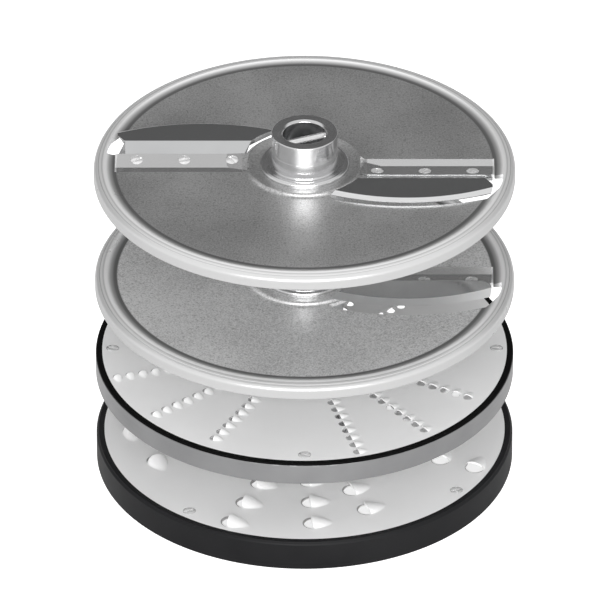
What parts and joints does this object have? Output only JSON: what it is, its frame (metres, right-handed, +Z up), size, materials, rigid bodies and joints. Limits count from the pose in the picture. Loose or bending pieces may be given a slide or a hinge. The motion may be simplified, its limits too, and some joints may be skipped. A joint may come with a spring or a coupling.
{
  "type": "food processor cutting disc set",
  "caption": "Stack of round food processor cutting discs: two slicing discs with curved blades above two grating discs with raised teeth, each with a central hub.",
  "frame": {"origin": "on the discs' common axis, at the table that the lowest disc stands on", "axes": "+Z up along the common axis; +X along the right-hand slicing blades' screwed strips; the cutting edges face -Y there"},
  "size_m": [0.185, 0.185, 0.1687],
  "materials": {
    "blasted_aluminium": "bead-blasted, fine grain",
    "turned_aluminium": "turned, satin",
    "brushed_aluminium": "satin, brushed round",
    "ground_steel": "ground and honed",
    "sheet_steel": "smooth satin sheet",
    "bright_steel": "polished",
    "screw_steel": "bright zinc",
    "black_plastic": "fine-textured black",
    "black_seal": "smooth black",
    "grey_plastic": "plain grey"
  },
  "bodies": {
    "coarse_disc": {"coarse_rim": "black_plastic", "coarse_spokes": "black_plastic", "coarse_boss": "black_plastic", "coarse_grating_plate": "sheet_steel", "coarse_teeth": "sheet_steel", "coarse_hub": "turned_aluminium", "coarse_drive_pin": "bright_steel", "coarse_plate_screws": "screw_steel"},
    "sleeve_low": {"lower_sleeve": "grey_plastic"},
    "fine_disc": {"fine_rim": "brushed_aluminium", "fine_spokes": "brushed_aluminium", "fine_boss": "brushed_aluminium", "fine_seal_ring": "black_seal", "fine_grating_plate": "sheet_steel", "fine_teeth": "sheet_steel", "fine_hub": "turned_aluminium", "fine_drive_pin": "bright_steel", "fine_plate_screws": "screw_steel"},
    "sleeve_mid": {"middle_sleeve": "grey_plastic"},
    "thick_disc": {"thick_slicing_pan": "blasted_aluminium", "thick_pan_rim": "blasted_aluminium", "thick_blade": "ground_steel", "thick_hub": "turned_aluminium", "thick_drive_pin": "bright_steel", "thick_blade_screws": "screw_steel"},
    "sleeve_high": {"upper_sleeve": "grey_plastic"},
    "thin_disc": {"thin_slicing_pan": "blasted_aluminium", "thin_pan_rim": "blasted_aluminium", "thin_blade_right": "ground_steel", "thin_blade_left": "ground_steel", "thin_hub": "turned_aluminium", "thin_drive_pin": "bright_steel", "thin_blade_screws": "screw_steel"}
  },
  "joints": [
    {"name": "fine_disc_lift", "type": "slide", "parent": "coarse_disc", "child": "sleeve_low", "axis": [0, 0, 1], "range_m": [0, 0.03]},
    {"name": "fine_disc_spin", "type": "hinge", "parent": "sleeve_low", "child": "fine_disc", "pos_m": [0, 0, 0.0457], "axis": [0, 0, 1], "continuous": true},
    {"name": "thick_disc_lift", "type": "slide", "parent": "fine_disc", "child": "sleeve_mid", "axis": [0, 0, 1], "range_m": [0, 0.03]},
    {"name": "thick_disc_spin", "type": "hinge", "parent": "sleeve_mid", "child": "thick_disc", "pos_m": [0, 0, 0.0899], "axis": [0, 0, 1], "continuous": true},
    {"name": "thin_disc_lift", "type": "slide", "parent": "thick_disc", "child": "sleeve_high", "axis": [0, 0, 1], "range_m": [0, 0.03]},
    {"name": "thin_disc_spin", "type": "hinge", "parent": "sleeve_high", "child": "thin_disc", "pos_m": [0, 0, 0.1464], "axis": [0, 0, 1], "continuous": true}
  ]
}
